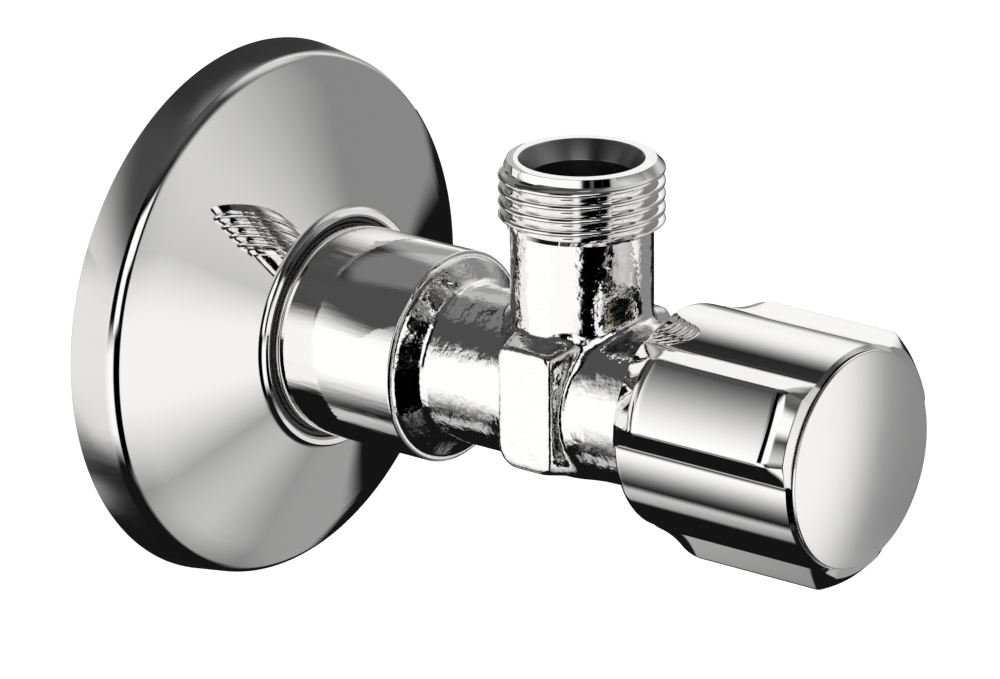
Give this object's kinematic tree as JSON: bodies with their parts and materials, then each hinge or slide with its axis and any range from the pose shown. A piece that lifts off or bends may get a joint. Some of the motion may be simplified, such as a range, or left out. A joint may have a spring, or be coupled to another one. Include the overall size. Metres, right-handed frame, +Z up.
{
  "type": "angle shut-off valve",
  "caption": "Chromed angle shut-off valve with a sliding wall plate, an upright threaded outlet and a lobed turning handle.",
  "frame": {"origin": "on the inlet axis in the plane of the wall's surface, where the inlet thread ends", "axes": "+Y into the wall along the inlet axis, so the handle is at -Y; +Z up along the outlet's axis"},
  "size_m": [0.056, 0.0918, 0.056],
  "materials": {
    "plated_casting": "chromed brass casting, bright with a slightly uneven skin",
    "polished_chrome": "polished",
    "satin_chrome": "satin",
    "dark_plastic": "moulded",
    "white_plastic": "machined",
    "plain_brass": "turned",
    "fibre_gasket": "pressed fibre",
    "black_rubber": "moulded",
    "spring_steel": "dull",
    "screw_steel": "plated"
  },
  "bodies": {
    "body": {"valve_body": "plated_casting", "inlet_seal_ring": "white_plastic", "headwork_body": "plain_brass", "headwork_gasket": "fibre_gasket"},
    "handle": {"knob_shell": "polished_chrome", "knob_hub": "dark_plastic", "knob_screw": "screw_steel", "knob_cap": "satin_chrome", "spindle": "plain_brass", "spindle_o_ring_rear": "black_rubber", "spindle_o_ring_front": "black_rubber", "spindle_clip": "spring_steel", "thrust_washer": "white_plastic"},
    "shutter": {"plunger": "plain_brass", "plunger_o_ring": "black_rubber", "seat_washer": "black_rubber", "seat_washer_plate": "plain_brass", "seat_washer_screw": "plain_brass"},
    "cover": {"wall_plate": "polished_chrome", "plate_guide_ring": "dark_plastic"}
  },
  "joints": [
    {"name": "knob_turn", "type": "hinge", "parent": "body", "child": "handle", "pos_m": [0, -0.06, 0], "axis": [0, -1, 0], "range_deg": [0, 900]},
    {"name": "plunger_travel", "type": "slide", "parent": "body", "child": "shutter", "axis": [0, -1, 0], "range_m": [0, 0.004]},
    {"name": "plate_slide", "type": "slide", "parent": "body", "child": "cover", "axis": [0, -1, 0], "range_m": [0, 0.014]}
  ],
  "couplings": [
    {"joint": "plunger_travel", "follows": "knob_turn", "m_per_rad": 0.0002546}
  ]
}
